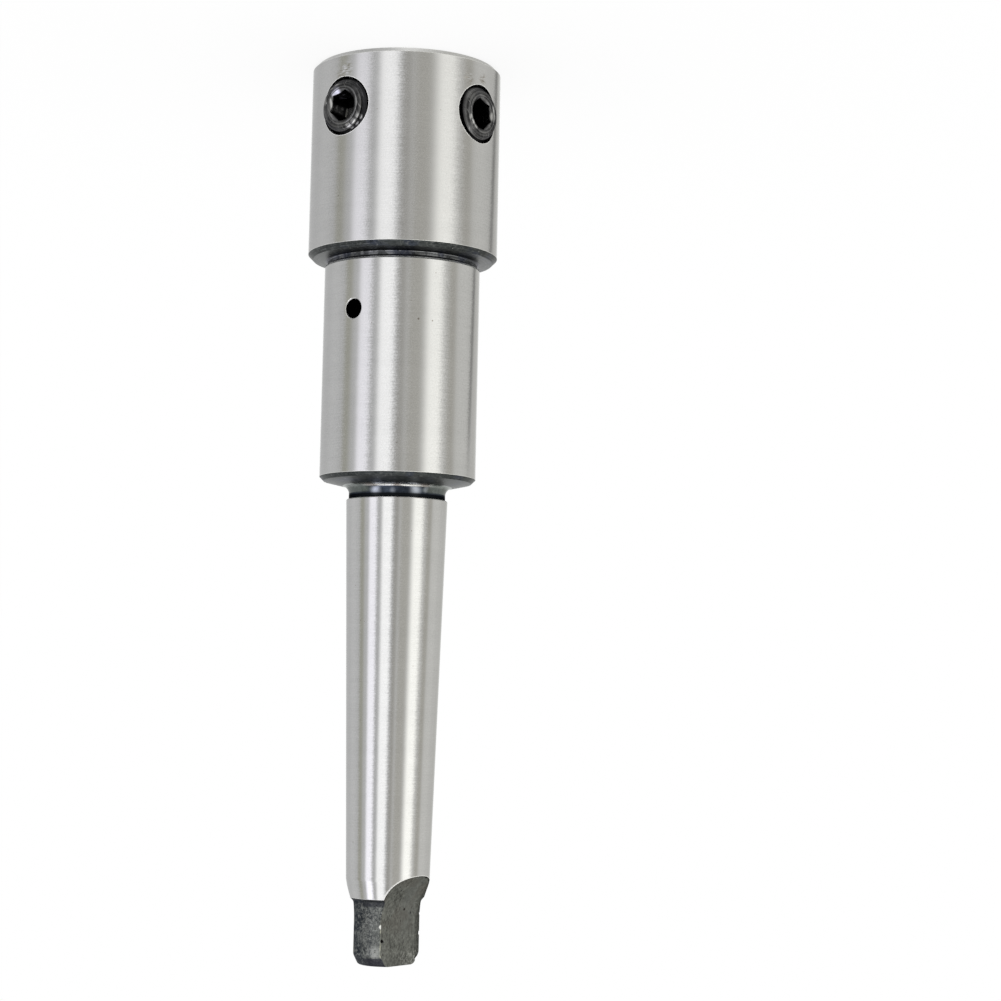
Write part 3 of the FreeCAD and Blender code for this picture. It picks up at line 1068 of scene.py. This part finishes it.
# %% [markdown]
# ## Milling the tang
# A side cutter takes each flat in one pass and lifts out on its own radius, so the flat ends in a
# curved run-out that bites into the taper. The cutter's sweep is drawn from the side and extruded
# across the bar. Four knocks are cut with small cones.

# %% Tang flats
flat_form = rounded_outline([
    (tang_half_thickness, end_z + 2),
    (tang_half_thickness, tang_flat_start_z - tang_runout_r, tang_runout_r),
    (20, tang_flat_start_z - tang_runout_r),
    (20, end_z + 2),
], arc_steps=32)
for side in (1, -1):
    cutter = extruded("flat_cutter", [point for point, _ in flat_form], 40)
    boolean(arbor, put(cutter, turned(side * 90) @ shifted(0, -20, 0)), finish="tang_flat")

knocks = {
    "near arris": (5.0, -3.15, 155.8, 0.42),
    "far arris": (-5.3, -3.1, 155.0, 0.45),
    "far arris, low": (-5.3, -3.1, 151.6, 0.28),
    "end corner": (-4.6, -3.1, 159.3, 0.5),
}
for x, y, z, size in knocks.values():
    notch = lathe("notch", [(0, -size), (size, 0), (0, size * 1.6)], columns=10)
    boolean(arbor, put(notch, shifted(x, y, z) @ turned(35, "X") @ turned(20, "Y")), finish="hole")
print("tang milled and knocked:", len(arbor.data.polygons), "faces")

# %% [markdown]
# ## Set screws
# A short black rod with a thread outside and a hexagon inside. The blank is turned with its
# chamfers, the thread is what blank and threaded rod have in common, and a hexagonal broach and a
# countersink make the socket. Each hole has a screw of its own, because the hexagons stand
# differently.

# %% Set screw
screw_low, screw_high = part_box("clamp_screw_1")
screw_length = (screw_high.x - screw_low.x) / MM
screw_face = screw_high.x / MM
crest_r = 4.95
root_r = 4.15
head_r = 4.05
point_r = 3.5
hexagon_flats = 5.0
hexagon_depth = 4.5
hexagon_lead_in = 0.25
cup_r, cup_depth = 2.2, 0.8
face_ring_r, face_ring_half, face_ring_depth = 3.5, 0.12, 0.07
hexagon_turns = {"screw_1": 12.4, "screw_2": -11.3}


def set_screw(name, hexagon_turn):
    """A set screw along +Z from its point at height 0 to its face."""
    corner_r = hexagon_flats / 2 / math.cos(math.radians(30))
    blank = lathe(name, [
        (0, cup_depth),
        (cup_r, 0, 0.2),
        (point_r, 0, 0.2),
        (crest_r, crest_r - point_r),
        (crest_r, screw_length - (crest_r - head_r), 0.15),
        (head_r, screw_length, 0.15),
        (face_ring_r + face_ring_half, screw_length, 0.06),
        (face_ring_r, screw_length - face_ring_depth, 0.05),
        (face_ring_r - face_ring_half, screw_length, 0.06),
        (0, screw_length),
    ], columns=128)
    rod = threaded_rod("rod", root_r, crest_r + 0.2, pitch, turns=11, columns=96)
    boolean(blank, put(rod, shifted(0, 0, -2.3)), "INTERSECT")
    bpy.ops.object.select_all(action="DESELECT")
    bpy.ops.mesh.primitive_cylinder_add(
        vertices=6, radius=corner_r * MM, depth=2 * hexagon_depth * MM,
        location=(0, 0, screw_length * MM), rotation=(0, 0, math.radians(-hexagon_turn)),
    )
    boolean(blank, bpy.context.object)
    sink_form = [
        (0, screw_length - 0.5),
        (hexagon_flats / 2 * 0.99, screw_length - 0.5),
        (corner_r + hexagon_lead_in, screw_length + 0.1),
        (0, screw_length + 0.1),
    ]
    return boolean(blank, lathe("hexagon_countersink", sink_form, columns=96))


# %% [markdown]
# The screws are black oxide, handled and turned with a key. The skin is worn through to grey in
# rings on the face, with light scratches, and stays black in the thread. The rings need the
# distance from the screw's own axis, so each screw has its own sheet. A patch is its middle,
# sideways and upwards from that axis, half its width and height, its grey and its blue. The
# patches are partly wear and partly painted glints and reflections on the face and the socket's
# lead-in. The lower part of the first socket's floor is painted light as a highlight.

# %% Black oxide with worn rings
wear_and_glint_patches = {
    "screw_1": [
        (1.3, -2.75, 0.75, 0.75, 0.75, 0.88),
        (2.0, -2.35, 0.5, 0.5, 0.6, 0.7),
        (2.62, -0.6, 0.17, 1.05, 0.75, 0.75),
        (-1.5, 3.75, 0.5, 0.4, 0.85, 0.85),
        (-2.6, 3.1, 0.5, 0.5, 0.85, 0.85),
        (-3.6, 2.3, 0.4, 0.45, 0.6, 0.6),
        (3.8, -1.1, 0.3, 0.7, 0.4, 0.4),
        (1.3, -3.8, 0.7, 0.16, 0.6, 0.6),
        (2.5, -3.25, 0.55, 0.2, 0.5, 0.5),
        (-3.5, -0.4, 0.5, 1.0, 0.3, 0.3),
        (0.6, 3.4, 1.3, 0.5, 0.22, 0.22),
    ],
    "screw_2": [
        (3.4, 1.2, 0.4, 0.55, 0.8, 0.8),
        (2.7, 2.0, 0.45, 0.5, 0.85, 0.85),
        (1.9, 2.7, 0.5, 0.4, 0.7, 0.7),
        (-3.2, -1.5, 0.4, 0.8, 0.8, 0.8),
        (-3.1, -0.1, 0.5, 0.9, 0.7, 0.7),
        (0.2, -3.3, 0.8, 0.4, 0.3, 0.3),
        (2.7, -2.2, 1.1, 1.2, 0.22, 0.22),
        (-0.4, 3.4, 1.2, 0.6, 0.25, 0.25),
    ],
}


def worn_oxide(name):
    sheet, place = new_finish(name + "_oxide")
    sideways, up, out = from_screw(sheet.split(place), name)
    radius = sideways.hypot(up)
    rings = sheet.noise((radius * 5200, out * 900, sideways * 70), detail=3, roughness=0.6)
    grain = sheet.noise(place, 2600, detail=3)
    clouds = sheet.noise(place, 560, detail=2)
    scratch = sheet.noise((sideways * 5200 + up * 2600, up * 420, out * 300), detail=1)
    face = out.over(screw_face - 1, screw_face - 0.3) * radius.over(2.5, 2.8)
    worn = face * (rings.above(0.44, 0.6) * 0.7 + clouds.above(0.44, 0.6) * 0.2 + grain * 0.2)
    light_lines = face * (scratch.above(0.64, 0.69) * 0.5)
    skin = sheet.shaded((0.022, 0.022, 0.024), 0.5 + grain)
    skin = skin.layer(worn.at_most(1.0), (0.22, 0.22, 0.225))
    skin = skin.layer(light_lines, (0.45, 0.45, 0.45))
    broken = rings.above(0.44, 0.56) * 0.85 + 0.15
    near_face = out.over(screw_face - 3.8, screw_face - 2.8)
    # Patches of wear and of painted glints and reflections on the face and the socket's lead-in.
    for middle_s, middle_h, half_s, half_h, grey, blue in wear_and_glint_patches[name]:
        in_s = (sideways - middle_s * MM) / (half_s * MM)
        in_h = (up - middle_h * MM) / (half_h * MM)
        patch = in_s.hypot(in_h).below(0.4, 1.4)
        skin = skin.layer(patch * broken * near_face, (grey, grey, blue))
    # Painted light: the lower part of the first socket's floor is painted light grey.
    if name == "screw_1":
        hexagon_floor = screw_face - hexagon_depth
        floor_lit = out.under(hexagon_floor + 0.05, hexagon_floor + 0.3)
        floor_lit = floor_lit * out.over(12, 12.5) * up.over(-0.9, -0.3)
        skin = skin.layer(floor_lit * (0.6 + grain * 0.5), (0.5, 0.5, 0.48))
    normal = sheet.bump(rings * 0.7 + grain * 0.3, 0.8, 0.04)
    gloss = 0.33 + grain.swing(0.3)
    coated(sheet, skin, gloss, normal, edge_tint=(0.4, 0.4, 0.42))


for name in screw_places:
    screw = set_screw(name + "_threaded", hexagon_turns[name])
    put(screw, at_screw(name) @ shifted(0, 0, screw_face - screw_length))
    worn_oxide(name)
    paint(screw, name + "_oxide")
    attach(screw, name)
    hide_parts("clamp_" + name)
    print(name, len(screw.data.polygons), "faces")

# %% Body rides on the arbor
smooth(arbor)
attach(arbor, "arbor")
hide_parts("arbor_body")
print("body:", len(arbor.data.polygons), "faces,", len(arbor.data.materials), "finishes")

# %% [markdown]
# ## Inside the arbor
# A plunger pushes the slug out of the cutter. Its drum slides in the chamber, its nose bears on the
# cutter's pilot pin, and three scallops let coolant past. It is turned from bar and left bright.

# %% Ejector plunger
sheet, place = new_finish("turned_bar")
rings = turned_rings(sheet, place, 5200)
smudge = sheet.noise(place, 420, detail=3)
shade = 0.92 + rings.swing(0.5) + smudge.swing(0.2)
bar = sheet.shaded((0.56, 0.555, 0.54), shade)
coated(sheet, bar, 0.3 + smudge.swing(0.2), sheet.bump(rings, 0.5, 0.02))

plunger_z = 35.45
plunger_top_z = 41.45
guide_r = 6.93
nose_r = 3.2
pilot_r = 3.6
scallop_r = 2.1
scallop_offset = 7.53
plunger = lathe("ejector_plunger_turned", [
    (0, plunger_z - 2.2),
    (nose_r - 0.8, plunger_z - 2.2, 0.15),
    (nose_r, plunger_z - 1.4, 0.15),
    (nose_r, plunger_z),
    (guide_r - 0.5, plunger_z),
    (guide_r, plunger_z + 0.5),
    (guide_r, plunger_top_z - 0.5),
    (guide_r - 0.5, plunger_top_z),
    (pilot_r, plunger_top_z),
    (pilot_r, plunger_top_z + 6.5),
    (pilot_r - 0.5, plunger_top_z + 7),
    (0, plunger_top_z + 7),
], columns=128)
for azimuth in (60, 180, 300):
    low, high = plunger_z - 1, plunger_top_z + 1
    scallop = lathe("scallop", [(0, low), (scallop_r, low), (scallop_r, high), (0, high)], 48)
    boolean(plunger, put(scallop, turned(azimuth) @ shifted(scallop_offset, 0, 0)))
paint(plunger, "turned_bar")
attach(plunger, "plunger")
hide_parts("ejector_plunger")
print("plunger:", len(plunger.data.polygons), "faces")

# %% [markdown]
# An internal retaining ring sits in its groove below the plunger. It is stamped from spring steel:
# an open band whose two ends widen into lugs with holes for pliers. Its outline is drawn flat and
# extruded, and the holes are punched.

# %% Retaining ring
sheet, place = new_finish("stamped_spring_steel")
grain = sheet.noise(place, 2200, detail=3)
clouds = sheet.noise(place, 500, detail=2)
x, y, z = sheet.split(place)
brushed = sheet.noise((x * 5200, y * 700, z * 700), detail=2)
shade = 0.7 + grain.swing(0.5) + brushed.swing(0.4)
strip_steel = sheet.shaded((0.2, 0.2, 0.21), shade)
strip_steel = strip_steel.layer(clouds.above(0.52, 0.66) * 0.4, (0.34, 0.33, 0.32))
coated(sheet, strip_steel, 0.36 + grain.swing(0.2), sheet.bump(brushed, 0.4, 0.02))

ring_outer_r, ring_inner_r, lug_r, ring_thickness = 7.25, 5.55, 3.95, 1
plier_hole_r = 0.75
gap_half, lug_angle = math.radians(28), math.radians(24)
band_end = math.pi - gap_half


def arc(radius, start, end, steps):
    """Points on an arc about the axis, from one angle to another."""
    return [radius * cmath.exp(1j * (start + (end - start) * k / steps)) for k in range(steps + 1)]


ring = extruded("retaining_ring_stamped", [
    *arc(ring_outer_r, band_end, -band_end, 96),
    *arc(lug_r, -band_end, -band_end + lug_angle, 8),
    *arc(ring_inner_r, -band_end + lug_angle, band_end - lug_angle, 72),
    *arc(lug_r, band_end - lug_angle, band_end, 8),
], ring_thickness)
put(ring, shifted(0, 0, ring_groove_z) @ turned(90, "X"))
for side in (1, -1):
    bearing = side * (math.pi - gap_half - lug_angle / 2)
    hole = lathe("plier_hole", [(0, 33), (plier_hole_r, 33), (plier_hole_r, 37), (0, 37)], 32)
    hole_place = cmath.rect((ring_outer_r + lug_r) / 2, bearing)
    boolean(ring, put(hole, shifted(hole_place.real, hole_place.imag, 0)))
paint(ring, "stamped_spring_steel")
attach(ring, "arbor")
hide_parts("retaining_ring")
print("ring:", len(ring.data.polygons), "faces")

# %% [markdown]
# Behind the plunger stands a compression spring of round wire. The wire's section is drawn as a
# circle and wound by the Screw modifier. The spring would shorten towards the chamber's end as the
# plunger comes in; here it is wound at the length between the plunger and the chamber's end.

# %% Ejector spring
sheet, place = new_finish("drawn_wire")
grain = sheet.noise(place, 1900, detail=3)
clouds = sheet.noise(place, 350, detail=2)
shade = 0.8 + grain.swing(0.5) + clouds.swing(0.3)
wire_tone = sheet.shaded((0.3, 0.3, 0.31), shade)
coated(sheet, wire_tone, 0.32 + grain.swing(0.2), sheet.bump(grain, 0.4, 0.02))

wire_r, coil_r, spring_turns, seat_gap = 0.6, 5.5, 6, 0.05
spring_low = plunger_top_z + seat_gap + wire_r
spring_high = chamber_end_z - seat_gap - wire_r
middle = complex(coil_r, spring_low)
section = [middle + cmath.rect(wire_r, math.radians(a)) for a in range(0, 360, 20)]
spring = draw_outline("ejector_spring_wound", section)
bpy.ops.mesh.edge_face_add()
bpy.ops.mesh.delete(type="ONLY_FACE")
spring = wound(spring, (spring_high - spring_low) / spring_turns, spring_turns, 64)
paint(spring, "drawn_wire", 45)
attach(spring, "arbor")
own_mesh(spring)
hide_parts("ejector_spring")
print("spring:", len(spring.data.polygons), "faces")

low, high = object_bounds()
print("visual box in mm:", [round(v / MM, 2) for v in (*low, *high)])
